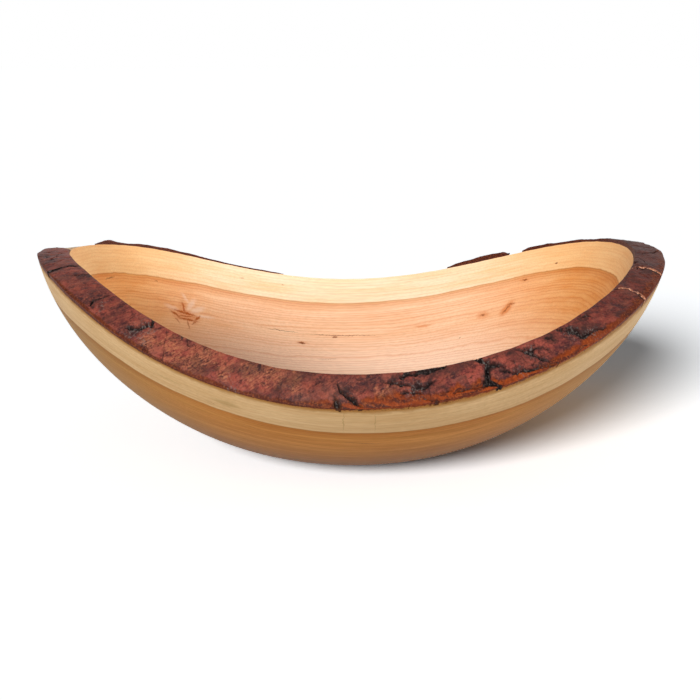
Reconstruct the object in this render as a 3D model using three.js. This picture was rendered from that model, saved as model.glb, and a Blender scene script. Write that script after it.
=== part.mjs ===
// Natural-edge salad bowl, turned from half of a cherry log with the bark left on its rim.
//
// Sizes are in millimetres. +Z is up, +X runs along the log, which is the long way of the bowl, and the
// origin is on the table, below the middle of the bowl's length and width.
//
// The wall of a turned bowl is one profile spun round the axis of the lathe. Its rim isn't turned: it is the
// round outside of the log, so it rises at the two ends of the log and dips at the front and the back. The
// layers of the log run through the wall one above the other: heartwood, a band of pale sapwood, and the
// bark, which split into plates as it dried. Each piece here is the stretch of wall between two of these
// layers, so all of them share one profile and one log.

import * as THREE from 'three';

// The turned body
const bowlLength = 356; // over the rim, along the log
const endHeight = 113.6; // of the wood at the rim, mean of the two ends
const acrossGrain = 0.97; // wood shrinks more across the log than along it, so the bowl dried oval
const footRadius = 39;
const footRun = 52; // the profile leaves the foot nearly flat, for about this far
const footLift = 2; // and climbs this much over that run
const bellyInset = 15.9; // the belly's handle lies this far inside the rim
const bellyDrop = 62.4; // and this far below it
const wallAtRim = 16.6;
const wallAtFoot = 14.6;
const hollowShift = 1; // the hollow dried a little out of centre, towards the back
const recessRadius = 29; // the foot is dished, so that the bowl stands on a ring
const recessDepth = 1.6;

// The log
const logRadius = 191.4; // under the bark
const logAside = -14.8; // the log's middle lies this far in front of the lathe's axis
const sapwoodDepth = 22.2;
const seam = 0.3; // between one layer and the next

// How the log departs from a true cylinder. Each term is a rise at half the bowl's length from the middle, as a
// share of swellRise, with the powers of the distance along and across the log that it grows with.
const swellRise = 10;
const logSwells = [
  { rise: -0.26, along: 1, across: 0 },
  { rise: -4.15, along: 2, across: 0 },
  { rise: 0.54, along: 3, across: 0 },
  { rise: 1.6, along: 4, across: 0 },
  { rise: -0.4, along: 5, across: 0 },
  { rise: 1.32, along: 1, across: 1 },
  { rise: 1.05, along: 2, across: 1 },
  { rise: -0.49, along: 3, across: 1 },
  { rise: -0.83, along: 4, across: 1 },
  { rise: -0.17, along: 1, across: 2 },
  { rise: 3.3, along: 2, across: 2 },
  { rise: -1.94, along: 3, across: 2 },
  { rise: 2, along: 0, across: 3 },
  { rise: -1.17, along: 1, across: 3 },
  { rise: -2.57, along: 0, across: 4 },
];
// The sapwood isn't equally thick all round the log, so the heartwood's surface departs a little further.
const heartSwells = [
  { rise: 0.72, along: 2, across: 0 },
  { rise: 0.69, along: 0, across: 1 },
  { rise: 0.55, along: 1, across: 1 },
];

// The bark. Plates and bare stretches of rim follow one another anticlockwise, seen from above, and the first
// starts just in front of the right end of the bowl. Each takes its parts of the way round, out of all the
// parts in the list. Its far end is slanted: at the rim's inner edge it lies that much further round than at
// the outer edge. A plate's thickness is given at equal steps along it, as shares of the thickest bark.
const barkThickest = 5;
const crackWidth = 1.3; // between two plates that share a crack
const softEdge = 0.9; // how much lower a plate is along its outer and inner edges
const barkWave = 0.4; // how far the bark's surface rolls up and down
const barkWaveLength = 31;
const firstCrackDegrees = -20.2; // at the outer edge, from the right end of the bowl
const rimStretches = [
  { plate: 'bark_right_end', parts: 58.2, slant: 9.3, thickness: [0.86, 0.74, 0.6, 0.48, 0.36, 0.36, 0.64] },
  { parts: 10, slant: -6.2 },
  { plate: 'bark_back_patch', parts: 11, slant: 9.3, thickness: [0.72, 0.84, 0.72, 0.4] },
  { parts: 52, slant: -6.2 },
  {
    plate: 'bark_back_left',
    parts: 45,
    slant: 40,
    thickness: [0.16, 0.2, 0.2, 0.24, 0.42, 0.46, 0.4, 0.22, 0.54, 0.2],
  },
  { parts: 18, slant: 43 },
  { plate: 'bark_left_end', parts: 32, slant: 2.5, thickness: [0.24, 0.34, 0.56, 0.76] },
  {
    plate: 'bark_front_left',
    parts: 90,
    slant: -6.8,
    thickness: [0.8, 0.84, 0.6, 0.42, 0.34, 0.36, 0.58, 0.88, 0.98, 0.88],
  },
  { plate: 'bark_front_right', parts: 33.8, slant: -6.2, thickness: [0.86, 0.82, 0.74, 0.84, 0.88] },
  { plate: 'bark_right_shoulder', parts: 10, slant: -5.6, thickness: [0.88, 0.88, 0.86] },
];

// Mesh steps
const turnSteps = 96; // round the bowl
const bodySteps = 12; // up the outside of the heartwood, and down its inside
const sapwoodSteps = 3; // up the side of the sapwood band
const topSteps = 3; // across the wall
const floorSteps = 4;
const barkStepDegrees = 2.5;
const barkAcross = [0, 0.1, 0.35, 0.65, 0.9, 1]; // where the bark is set out across the wall

const halfLength = bowlLength / 2;
const turnedProfile = [
  new THREE.Vector2(footRadius, 0),
  new THREE.Vector2(footRadius + footRun, footLift),
  new THREE.Vector2(halfLength - bellyInset, endHeight - bellyDrop),
  new THREE.Vector2(halfLength, endHeight),
];
const profileReach = 1.25; // the profile is followed past the rim, because the log is higher there in places

// Point and direction of the outside's profile, a cubic Bezier curve, as radius and height.
function outsidePoint(s) {
  const [a, b, c, d] = turnedProfile;
  const t = 1 - s;
  return new THREE.Vector2()
    .addScaledVector(a, t * t * t)
    .addScaledVector(b, 3 * t * t * s)
    .addScaledVector(c, 3 * t * s * s)
    .addScaledVector(d, s * s * s);
}

function outsideDirection(s) {
  const [a, b, c, d] = turnedProfile;
  const t = 1 - s;
  return new THREE.Vector2()
    .addScaledVector(b.clone().sub(a), t * t)
    .addScaledVector(c.clone().sub(b), 2 * t * s)
    .addScaledVector(d.clone().sub(c), s * s)
    .normalize();
}

// The inside lies one wall away, square to the outside. The wall thins towards the foot.
function insidePoint(s) {
  const point = outsidePoint(s);
  const direction = outsideDirection(s);
  const wall = THREE.MathUtils.lerp(wallAtFoot, wallAtRim, point.y / endHeight);
  return point.add(new THREE.Vector2(-direction.y, direction.x).multiplyScalar(wall));
}

const outside = { profile: outsidePoint, centreX: 0, centreY: 0 };
const inside = { profile: insidePoint, centreX: 0, centreY: hollowShift };

// A point of the profile, turned to an angle on the bowl. The bowl is a little narrower across the grain.
function turned(skin, radius, height, angle) {
  return new THREE.Vector3(
    skin.centreX + radius * Math.cos(angle),
    skin.centreY + acrossGrain * radius * Math.sin(angle),
    height,
  );
}

function skinPoint(skin, s, angle) {
  const { x: radius, y: height } = skin.profile(s);
  return turned(skin, radius, height, angle);
}

function swell(terms, x, y) {
  const along = x / halfLength;
  const across = y / halfLength;
  const total = terms.reduce((sum, term) => sum + term.rise * along ** term.along * across ** term.across, 0);
  return swellRise * total;
}

// Height of a circle's arch over its middle. Past its end it carries on downwards.
function arch(radius, y) {
  const rest = 1 - ((y - logAside) / radius) ** 2;
  return radius * (rest > 0 ? Math.sqrt(rest) : rest);
}

const meanEndSwell = (swell(logSwells, halfLength, 0) + swell(logSwells, -halfLength, 0)) / 2;
const logMiddleHeight = endHeight - arch(logRadius, 0) - meanEndSwell;

// Height of a layer of the log over a point of the plan, so deep under the bark. Bark has a negative depth.
function logLayer(depth) {
  return (x, y) => logMiddleHeight + arch(logRadius - depth, y) + swell(logSwells, x, y);
}

function heartLayer(depth) {
  const layer = logLayer(depth);
  return (x, y) => layer(x, y) + swell(heartSwells, x, y);
}

// Where the profile, turned to an angle, comes up through a layer: found by halving.
function crossing(skin, angle, layer) {
  let below = 0;
  let above = profileReach;
  for (let i = 0; i < 40; i += 1) {
    const middle = (below + above) / 2;
    const point = skinPoint(skin, middle, angle);
    if (point.z > layer(point.x, point.y)) {
      above = middle;
    } else {
      below = middle;
    }
  }
  return (below + above) / 2;
}

function range(count) {
  return Array.from({ length: count }, (_, i) => i);
}

// Points along a skin from one place of its profile to another, the first one left out.
function skinRun(skin, from, to, angle, steps) {
  return range(steps).map((i) => skinPoint(skin, THREE.MathUtils.lerp(from, to, (i + 1) / steps), angle));
}

// Points across the wall from one point to another, on a layer, with both ends left out.
function layerRun(from, to, layer, places) {
  return places.map((place) => {
    const point = from.clone().lerp(to, place);
    point.z = layer(point.x, point.y);
    return point;
  });
}

function evenPlaces(steps) {
  return range(steps - 1).map((i) => (i + 1) / steps);
}

// A closed mesh from its corners and its faces of three or four corners. Faces that came out inside out are
// turned round together.
function closedMesh(name, material, corners, faces) {
  const triangles = faces.flatMap((face) => (face.length === 4
    ? [[face[0], face[1], face[2]], [face[0], face[2], face[3]]]
    : [face]));
  const volume = triangles.reduce((sum, [a, b, c]) => (
    sum + corners[a].dot(new THREE.Vector3().crossVectors(corners[b], corners[c]))
  ), 0);
  const outward = volume > 0 ? triangles : triangles.map(([a, b, c]) => [a, c, b]);
  const geometry = new THREE.BufferGeometry();
  geometry.setAttribute('position', new THREE.Float32BufferAttribute(corners.flatMap((p) => p.toArray()), 3));
  geometry.setIndex(outward.flat());
  geometry.computeVertexNormals();
  const mesh = new THREE.Mesh(geometry, material);
  mesh.name = name;
  return mesh;
}

// Faces between one loop of corners and the next. Corners are numbered loop after loop.
function stripFaces(first, second, length, closed) {
  return range(closed ? length : length - 1).map((i) => {
    const next = (i + 1) % length;
    return [first + i, first + next, second + next, second + i];
  });
}

const turnAngles = range(turnSteps).map((i) => (2 * Math.PI * i) / turnSteps);

// The heartwood: dished foot, outside, the surface where the sapwood starts, inside and floor, in one go from
// the middle of the foot to the middle of the floor.
function heartwood(material) {
  const top = heartLayer(sapwoodDepth);
  const floorEdge = insidePoint(0);
  const floorSlope = outsideDirection(0).y / outsideDirection(0).x;
  const floorDrop = (floorSlope * floorEdge.x) / 2;
  const floorPoint = (share, angle) => turned(
    inside,
    floorEdge.x * share,
    floorEdge.y - floorDrop * (1 - share * share),
    angle,
  );
  const dishPoint = (share, angle) => (
    turned(outside, recessRadius * share, recessDepth * (1 - share * share), angle)
  );
  const lines = turnAngles.map((angle) => {
    const outsideTop = crossing(outside, angle, top);
    const insideTop = crossing(inside, angle, top);
    return [
      dishPoint(0.5, angle),
      dishPoint(1, angle),
      turned(outside, footRadius, 0, angle),
      ...skinRun(outside, 0, outsideTop, angle, bodySteps),
      ...layerRun(
        skinPoint(outside, outsideTop, angle),
        skinPoint(inside, insideTop, angle),
        top,
        evenPlaces(topSteps),
      ),
      skinPoint(inside, insideTop, angle),
      ...skinRun(inside, insideTop, 0, angle, bodySteps),
      ...range(floorSteps - 1).map((i) => floorPoint(1 - (i + 1) / floorSteps, angle)),
    ];
  });
  const length = lines[0].length;
  const corners = [...lines.flat(), dishPoint(0, 0), floorPoint(0, 0)];
  const footMiddle = corners.length - 2;
  const floorMiddle = corners.length - 1;
  const faces = range(turnSteps).flatMap((i) => {
    const here = i * length;
    const next = ((i + 1) % turnSteps) * length;
    return [
      ...stripFaces(here, next, length, false),
      [footMiddle, here, next],
      [here + length - 1, floorMiddle, next + length - 1],
    ];
  });
  return closedMesh('heartwood_bowl', material, corners, faces);
}

// A loop round the section of a layer of the wall: up the outside, across the top, down the inside and back
// across the bottom.
function bandLoop(outerAngle, innerAngle, bottom, top, sideSteps, places) {
  const outerBottom = crossing(outside, outerAngle, bottom);
  const outerTop = crossing(outside, outerAngle, top.outer);
  const innerBottom = crossing(inside, innerAngle, bottom);
  const innerTop = crossing(inside, innerAngle, top.inner);
  const bottomOut = skinPoint(outside, outerBottom, outerAngle);
  const bottomIn = skinPoint(inside, innerBottom, innerAngle);
  return [
    bottomOut,
    ...skinRun(outside, outerBottom, outerTop, outerAngle, sideSteps),
    ...top.across(skinPoint(outside, outerTop, outerAngle), skinPoint(inside, innerTop, innerAngle), places),
    skinPoint(inside, innerTop, innerAngle),
    ...skinRun(inside, innerTop, innerBottom, innerAngle, sideSteps),
    ...layerRun(bottomIn, bottomOut, bottom, places.map((place) => 1 - place).reverse()),
  ];
}

function sapwood(material) {
  const top = logLayer(0);
  const topSurface = { outer: top, inner: top, across: (from, to, places) => layerRun(from, to, top, places) };
  const bottom = heartLayer(sapwoodDepth - seam);
  const loops = turnAngles.map((angle) => (
    bandLoop(angle, angle, bottom, topSurface, sapwoodSteps, evenPlaces(topSteps))
  ));
  const length = loops[0].length;
  const faces = range(turnSteps).flatMap((i) => (
    stripFaces(i * length, ((i + 1) % turnSteps) * length, length, true)
  ));
  return closedMesh('sapwood_band', material, loops.flat(), faces);
}

// A value from a list set out at equal steps, with a smooth way from one to the next.
function smoothValue(list, share) {
  const place = share * (list.length - 1);
  const i = Math.min(Math.floor(place), list.length - 2);
  const blend = THREE.MathUtils.smoothstep(place - i, 0, 1);
  return THREE.MathUtils.lerp(list[i], list[i + 1], blend);
}

// How thick a plate is at a share of its way along and across, at a place of the plan.
function barkThickness(plate, along, across, x, y) {
  const wave = (2 * Math.PI) / barkWaveLength;
  const roll = barkWave * Math.sin(wave * x) * Math.cos(wave * (y + x / 2));
  const edge = (2 * across - 1) ** 6;
  const full = barkThickest * smoothValue(plate.thickness, along);
  return full + (roll - softEdge * edge) * Math.min(1, full / (4 * softEdge));
}

// Where each stretch of the rim begins and ends, in radians at the rim's outer and inner edge.
function rimPlaces(stretches) {
  const allParts = stretches.reduce((sum, stretch) => sum + stretch.parts, 0);
  let angle = THREE.MathUtils.degToRad(firstCrackDegrees);
  let { slant } = stretches.at(-1);
  return stretches.map((stretch) => {
    const from = { outer: angle, inner: angle + slant / halfLength };
    angle += (2 * Math.PI * stretch.parts) / allParts;
    ({ slant } = stretch);
    return { ...stretch, from, to: { outer: angle, inner: angle + slant / halfLength } };
  });
}

function barkPlate(plate, material) {
  const halfCrack = crackWidth / 2 / halfLength;
  const endAngle = (end, edge, side) => end[edge] + side * halfCrack;
  const span = THREE.MathUtils.radToDeg(plate.to.outer - plate.from.outer);
  const steps = Math.max(3, Math.round(span / barkStepDegrees));
  const bottom = logLayer(-seam);
  const loops = range(steps + 1).map((i) => {
    const along = i / steps;
    const angleAt = (edge) => (
      THREE.MathUtils.lerp(endAngle(plate.from, edge, 1), endAngle(plate.to, edge, -1), along)
    );
    const surface = (across) => (x, y) => logLayer(-seam - barkThickness(plate, along, across, x, y))(x, y);
    const top = {
      outer: surface(0),
      inner: surface(1),
      across: (from, to, places) => places.map((place) => {
        const point = from.clone().lerp(to, place);
        point.z = surface(place)(point.x, point.y);
        return point;
      }),
    };
    return bandLoop(angleAt('outer'), angleAt('inner'), bottom, top, 1, barkAcross.slice(1, -1));
  });
  const length = loops[0].length;
  const endFaces = (start) => range(length / 2 - 1).map((k) => (
    [start + k + 1, start + k + 2, start + length - k - 1, start + ((length - k) % length)]
  ));
  const faces = [
    ...range(steps).flatMap((i) => stripFaces(i * length, (i + 1) * length, length, true)),
    ...endFaces(0).map((face) => face.reverse()),
    ...endFaces(steps * length),
  ];
  return closedMesh(plate.plate, material, loops.flat(), faces);
}

const heartwoodFinish = new THREE.MeshStandardMaterial({ color: 0xb98350, roughness: 0.42, metalness: 0 });
const sapwoodFinish = new THREE.MeshStandardMaterial({ color: 0xe6cf9f, roughness: 0.42, metalness: 0 });
const barkFinish = new THREE.MeshStandardMaterial({ color: 0x743d30, roughness: 0.7, metalness: 0 });

const bowl = new THREE.Group();
bowl.name = 'salad_bowl';
bowl.add(heartwood(heartwoodFinish));
bowl.add(sapwood(sapwoodFinish));
rimPlaces(rimStretches)
  .filter((stretch) => stretch.plate)
  .forEach((plate) => bowl.add(barkPlate(plate, barkFinish)));

// The pieces are worked out round the lathe's axis. The log doesn't lie even about it, so the bowl's middle is
// a little to one side, and the whole is set over the origin by that much.
const middle = new THREE.Box3().setFromObject(bowl).getCenter(new THREE.Vector3());
bowl.position.set(-middle.x, -middle.y, 0);

export default bowl;
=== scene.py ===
# %% [markdown]
# # A natural-edge salad bowl
#
# This bowl was turned from half of a log. The lathe gave it one smooth wall, and nobody turned its rim: the
# rim is the outside of the log, with the bark still on. So the whole object follows from two plain forms, a
# turned profile and a log, and every piece below is a part of the wall between two layers of that log. We
# work them out as whole numpy arrays, which is short, exact and quick.

import math

import bpy
import numpy as np
from mathutils import Matrix, Vector


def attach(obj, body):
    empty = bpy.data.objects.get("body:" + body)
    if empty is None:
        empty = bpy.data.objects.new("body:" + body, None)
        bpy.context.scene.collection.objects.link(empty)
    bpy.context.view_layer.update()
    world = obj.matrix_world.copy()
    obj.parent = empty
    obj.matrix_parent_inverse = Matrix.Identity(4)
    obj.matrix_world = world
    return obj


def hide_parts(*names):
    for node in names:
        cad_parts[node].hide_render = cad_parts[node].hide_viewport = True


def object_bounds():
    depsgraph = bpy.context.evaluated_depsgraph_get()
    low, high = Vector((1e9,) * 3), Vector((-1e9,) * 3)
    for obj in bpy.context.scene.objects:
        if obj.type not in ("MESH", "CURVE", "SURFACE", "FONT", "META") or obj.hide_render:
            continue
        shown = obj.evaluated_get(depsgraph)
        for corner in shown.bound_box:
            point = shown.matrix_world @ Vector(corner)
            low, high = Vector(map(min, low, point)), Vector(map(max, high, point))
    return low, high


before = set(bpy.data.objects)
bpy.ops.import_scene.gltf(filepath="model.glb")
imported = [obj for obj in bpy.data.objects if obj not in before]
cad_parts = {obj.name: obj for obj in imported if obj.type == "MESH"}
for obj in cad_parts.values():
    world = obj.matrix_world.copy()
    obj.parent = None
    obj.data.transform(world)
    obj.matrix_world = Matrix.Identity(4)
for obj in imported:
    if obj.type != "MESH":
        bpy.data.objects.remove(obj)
cad_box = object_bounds()
print("CAD box, mm:", [[round(1000 * value, 1) for value in corner] for corner in cad_box])

# %% [markdown]
# ## The camera
#
# The camera comes first, because every later choice is judged through it. The photograph looks a little
# down on the bowl, from in front and from about two bowl lengths away. We could move a camera by hand until
# it fits. It is surer to say what it looks at, from how far and how high, and to let a little function turn
# that into a place.

# %% Camera
MM = 0.001
IMAGE_SIZE = 700
SENSOR_WIDTH = 36
FOCAL_PIXELS = 1212  # the length of the lens, told in pixels of the picture


def way_to(azimuth, elevation):
    """The unit way (sin a cos e, -cos a cos e, sin e). Azimuth 0 is in front of the bowl, 90 on its right."""
    a, e = math.radians(azimuth), math.radians(elevation)
    return Vector((math.sin(a) * math.cos(e), -math.cos(a) * math.cos(e), math.sin(e)))


def look_at(target, distance, azimuth, elevation, roll):
    """The place is the target plus the way back times the distance. The camera looks along minus that way."""
    back = way_to(azimuth, elevation)
    turn = (-back).to_track_quat("-Z", "Y").to_matrix().to_4x4()
    return Matrix.Translation(target + distance * back) @ turn @ Matrix.Rotation(math.radians(roll), 4, "Z")


camera = bpy.data.objects.new("camera", bpy.data.cameras.new("camera"))
bpy.context.scene.collection.objects.link(camera)
bpy.context.scene.camera = camera
camera.matrix_world = look_at(
    target=Vector((-1.5, 3.15, 53.85)) * MM, distance=726.1 * MM, azimuth=-0.69, elevation=15.15, roll=-0.1,
)
camera.data.sensor_width = SENSOR_WIDTH
camera.data.lens = FOCAL_PIXELS / IMAGE_SIZE * SENSOR_WIDTH
print("camera at, mm:", [round(1000 * value) for value in camera.matrix_world.translation])

# %% [markdown]
# ## The turned wall
#
# The outside is one curve spun round the lathe's axis: nearly flat where it leaves the foot, then swinging
# up into a steep wall. A cubic Bezier curve has just that shape with two handles. The inside is the same
# curve moved inwards by the thickness of the wall, square to the outside, because that is how a turner
# keeps a wall even.

# %% Sizes of the turned wall, in millimetres
HALF_LENGTH = 178.0
END_HEIGHT = 113.6
FOOT_RADIUS = 39.0
OVAL = 0.97  # the bowl dried narrower across the grain
PROFILE = np.array([[FOOT_RADIUS, 0.0], [91.0, 2.0], [162.1, 51.2], [HALF_LENGTH, END_HEIGHT]])
PROFILE_REACH = 1.25  # the last corner lies at s = 1, and the curve is carried on to here
WALL_AT_FOOT = 14.6
WALL_AT_RIM = 16.6
HOLLOW_SHIFT = (0.0, 1.0)
LATHE_AXIS = (0.232, 3.152)  # where it stands in the frame of the CAD part

# %% The outside and inside profiles


def bezier(s):
    """Radius and height at s: the four corners, weighted by the terms of ((1 - s) + s) to the third power."""
    s = np.asarray(s, float)[..., None]
    r = 1 - s
    return r**3 * PROFILE[0] + 3 * r**2 * s * PROFILE[1] + 3 * r * s**2 * PROFILE[2] + s**3 * PROFILE[3]


def bezier_direction(s):
    """The unit tangent: the corner path's three sides, weighted by the terms of ((1 - s) + s) squared."""
    s = np.asarray(s, float)[..., None]
    sides = np.diff(PROFILE, axis=0)
    way = (1 - s) ** 2 * sides[0] + 2 * (1 - s) * s * sides[1] + s**2 * sides[2]
    return way / np.linalg.norm(way, axis=-1, keepdims=True)


def inner_profile(s):
    """The outside's point plus the wall's thickness along the normal, which is the tangent turned left."""
    point, way = bezier(s), bezier_direction(s)
    wall = WALL_AT_FOOT + (WALL_AT_RIM - WALL_AT_FOOT) * point[..., 1:] / END_HEIGHT
    return point + wall * np.stack([-way[..., 1], way[..., 0]], -1)


def spin(point, angle, shift=(0, 0)):
    """x = radius cos(angle), y = oval radius sin(angle), z = height, moved aside by the shift."""
    x = shift[0] + point[..., 0] * np.cos(angle)
    y = shift[1] + OVAL * point[..., 0] * np.sin(angle)
    return np.stack([x, y, point[..., 1]], -1)


def outside(s, angle):
    """The outside profile, spun."""
    return spin(bezier(s), angle)


def inside(s, angle):
    """The inside profile, spun round an axis that moved a little as the bowl dried."""
    return spin(inner_profile(s), angle, HOLLOW_SHIFT)


print("floor of the hollow at z =", round(float(inner_profile(0)[1]), 1), "mm")

# %% [markdown]
# ## The log
#
# A layer of a log is an arch over the plan: a circle of the log's radius, less the layer's depth under the
# bark, seen along the log. A real log isn't a true cylinder, so a few smooth swells lift and lower the
# arch. The rim of each piece lies where the turned wall comes up through a layer. No formula gives that
# place, but halving an interval finds it quickly, for all angles at once.

# %% Sizes of the log, in millimetres
LOG_RADIUS = 191.4
LOG_ASIDE = -14.8
SAPWOOD_DEPTH = 22.2
SEAM = 0.3
LOG_SWELLS = (  # rise at half the bowl's length, and the powers of x and y that it grows with
    (-2.6, 1, 0), (-41.5, 2, 0), (5.4, 3, 0), (16.0, 4, 0), (-4.0, 5, 0), (13.2, 1, 1),
    (10.5, 2, 1), (-4.9, 3, 1), (-8.3, 4, 1), (-1.7, 1, 2), (33.0, 2, 2), (-19.4, 3, 2),
    (20.0, 0, 3), (-11.7, 1, 3), (-25.7, 0, 4),
)
HEART_SWELLS = ((7.2, 2, 0), (6.9, 0, 1), (5.5, 1, 1))
HEART_SWELL_END = 1.5  # they grow with the depth until it is so many times the sapwood's
HALVINGS = 30

# %% Layers of the log


def swell(terms, x, y):
    """The sum of rise (x / half length)^i (y / half length)^j."""
    return sum(rise * (x / HALF_LENGTH) ** i * (y / HALF_LENGTH) ** j for rise, i, j in terms)


def arch(radius, y):
    """The height of a circle over its middle, sqrt(radius^2 - y^2), carried on downwards past its end."""
    rest = 1 - ((y - LOG_ASIDE) / radius) ** 2
    return radius * (np.sqrt(np.maximum(rest, 0)) + np.minimum(rest, 0))


END_SWELL = sum(swell(LOG_SWELLS, end, 0) for end in (-HALF_LENGTH, HALF_LENGTH)) / 2
LOG_MIDDLE = END_HEIGHT - float(arch(LOG_RADIUS, 0.0)) - END_SWELL


def log_layer(depth):
    """Height of the layer that is so deep under the bark, as a function of x and y. Bark has minus depths."""
    return lambda x, y: LOG_MIDDLE + arch(LOG_RADIUS - depth, y) + swell(LOG_SWELLS, x, y)


def heart_layer(x, y):
    """The surface at which heartwood turns into sapwood."""
    return log_layer(SAPWOOD_DEPTH)(x, y) + swell(HEART_SWELLS, x, y)


def crossing(skin, angle, layer):
    """Where the profile on each angle comes up through the layer, by halving the stretch of s around it."""
    low = np.zeros_like(angle)
    high = np.full_like(angle, PROFILE_REACH)
    for _ in range(HALVINGS):
        middle = (low + high) / 2
        point = skin(middle, angle)
        over = point[..., 2] > layer(point[..., 0], point[..., 1])
        low = np.where(over, low, middle)
        high = np.where(over, middle, high)
    return (low + high) / 2


def log_place(points):
    """Places in the log's own terms: along it, round it and under its bark, all in millimetres.

    The depth is the log's radius less the distance from its middle line, after the swells are taken off."""
    x, y, z = points[..., 0], points[..., 1], points[..., 2]
    across = y - LOG_ASIDE
    rise = z - LOG_MIDDLE - swell(LOG_SWELLS, x, y)
    depth = LOG_RADIUS - np.hypot(across, rise)
    rise = rise - swell(HEART_SWELLS, x, y) * np.clip(depth / SAPWOOD_DEPTH, 0, HEART_SWELL_END)
    depth = LOG_RADIUS - np.hypot(across, rise)
    return np.stack([x, LOG_RADIUS * np.arctan2(across, rise), depth], -1)


print("pith of the log at z =", round(LOG_MIDDLE), "mm, below the foot")

# %% [markdown]
# ## From grids to pieces
#
# Each piece is a closed surface given as a grid of points: rows round the bowl, columns along a section.
# One function numbers the faces, one fills the mesh. Every corner also carries two facts for the materials:
# its place in the log, because growth rings, sapwood and bark follow the log, and whether it is on the
# inner side.

# %% Grid and mesh helpers


def grid_faces(rows, columns, closed_rows, closed_columns):
    """Four corners for each cell: (i, j), (i, j + 1), (i + 1, j + 1) and (i + 1, j), wrapped where closed."""
    i = np.arange(rows if closed_rows else rows - 1)[:, None]
    j = np.arange(columns if closed_columns else columns - 1)[None, :]
    i, j = np.broadcast_arrays(i, j)
    down, right = (i + 1) % rows, (j + 1) % columns
    corners = [i * columns + j, i * columns + right, down * columns + right, down * columns + j]
    return np.stack(corners, -1).reshape(-1, 4)


def volume_of(points, faces):
    """A sixth of the sum of a . (b x c) over the triangles that fan out from each face's first corner."""
    total = 0.0
    for face in faces:
        for k in range(1, face.shape[1] - 1):
            a, b, c = points[face[:, 0]], points[face[:, k]], points[face[:, k + 1]]
            total += (a * np.cross(b, c)).sum() / 6
    return total


def add_piece(name, points, faces, facts, sharp_columns, columns, material):
    """Fills a mesh from the points and faces and rides it in place of the CAD node with the same name."""
    volume = volume_of(points, faces)
    if volume < 0:
        faces = [face[:, ::-1] for face in faces]
    placed = (points + np.array([*LATHE_AXIS, 0])) * MM
    mesh = bpy.data.meshes.new(name)
    mesh.vertices.add(len(placed))
    mesh.vertices.foreach_set("co", placed.astype(np.float32).ravel())
    loops = np.concatenate([face.ravel() for face in faces]).astype(np.int32)
    sizes = np.concatenate([np.full(len(face), face.shape[1]) for face in faces])
    mesh.loops.add(len(loops))
    mesh.loops.foreach_set("vertex_index", loops)
    mesh.polygons.add(len(sizes))
    mesh.polygons.foreach_set("loop_start", np.concatenate([[0], np.cumsum(sizes)[:-1]]).astype(np.int32))
    mesh.update(calc_edges=True)
    mesh.polygons.foreach_set("use_smooth", np.ones(len(sizes), bool))
    ends = np.empty(2 * len(mesh.edges), np.int32)
    mesh.edges.foreach_get("vertices", ends)
    column = ends.reshape(-1, 2) % columns
    on_grid = ends.reshape(-1, 2).max(1) < len(points) // columns * columns
    sharp = (column[:, 0] == column[:, 1]) & np.isin(column[:, 0], sharp_columns) & on_grid
    mesh.attributes.new("sharp_edge", "BOOLEAN", "EDGE").data.foreach_set("value", sharp)
    for fact, values in facts.items():
        kind, field = ("FLOAT_VECTOR", "vector") if values.ndim == 2 else ("FLOAT", "value")
        mesh.attributes.new(fact, kind, "POINT").data.foreach_set(field, values.astype(np.float32).ravel())
    mesh.materials.append(material)
    piece = bpy.data.objects.new(name + "_piece", mesh)
    bpy.context.scene.collection.objects.link(piece)
    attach(piece, "root")
    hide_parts(name)
    triangles, litres = (sizes - 2).sum(), abs(volume) / 1e6
    print(f"{name}: {triangles} triangles, {litres:.4f} litres, faces turned: {volume < 0}")


# %% [markdown]
# ## Colours and nodes
#
# Colours are written as the hex values that a picture editor shows. Blender mixes light, so one function
# turns them into linear values. Another adds a node, sets it, links it and gives back its output, so that a
# material reads as a list of steps. Settings that many nodes share have a name.

# %% Colour and node helpers
ADD, SUBTRACT, MULTIPLY, MULTIPLY_ADD, DIVIDE, MAXIMUM, ABSOLUTE, FRACT, FLOOR, LENGTH = (
    {"operation": name}
    for name in "ADD SUBTRACT MULTIPLY MULTIPLY_ADD DIVIDE MAXIMUM ABSOLUTE FRACT FLOOR LENGTH".split()
)
SMOOTH = {"interpolation_type": "SMOOTHSTEP"}
COLOURS = {"data_type": "RGBA"}
TINTS = {"data_type": "RGBA", "blend_type": "MULTIPLY"}
ONE_NUMBER = {"noise_dimensions": "1D"}
LENS = {"vector_type": "TEXTURE"}


def linear(hex_colour):
    """Each channel c of an sRGB colour becomes c / 12.92, or ((c + 0.055) / 1.055)^2.4 above 0.04045."""
    channels = [(hex_colour >> shift & 255) / 255 for shift in (16, 8, 0)]
    return (*[c / 12.92 if c <= 0.04045 else ((c + 0.055) / 1.055) ** 2.4 for c in channels], 1.0)


def node(tree, kind, settings=None, output=None, **inputs):
    """Adds a node and gives back the output named, or else its first one in use.

    Inputs are named by their socket, with _ for a blank, or i0, i1 ... for its number."""
    made = tree.nodes.new("ShaderNode" + kind)
    for name, value in (settings or {}).items():
        setattr(made, name, value)
    for name, value in inputs.items():
        socket = made.inputs[int(name[1:])] if name[1:].isdigit() else made.inputs[name.replace("_", " ")]
        if isinstance(value, bpy.types.NodeSocket):
            tree.links.new(value, socket)
        else:
            socket.default_value = value
    if output:
        return made.outputs[output]
    return next((socket for socket in made.outputs if socket.enabled), None)


def new_material(name):
    """An empty node material and its tree."""
    material = bpy.data.materials.new(name)
    material.use_nodes = True
    material.node_tree.nodes.clear()
    return material, material.node_tree


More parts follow.
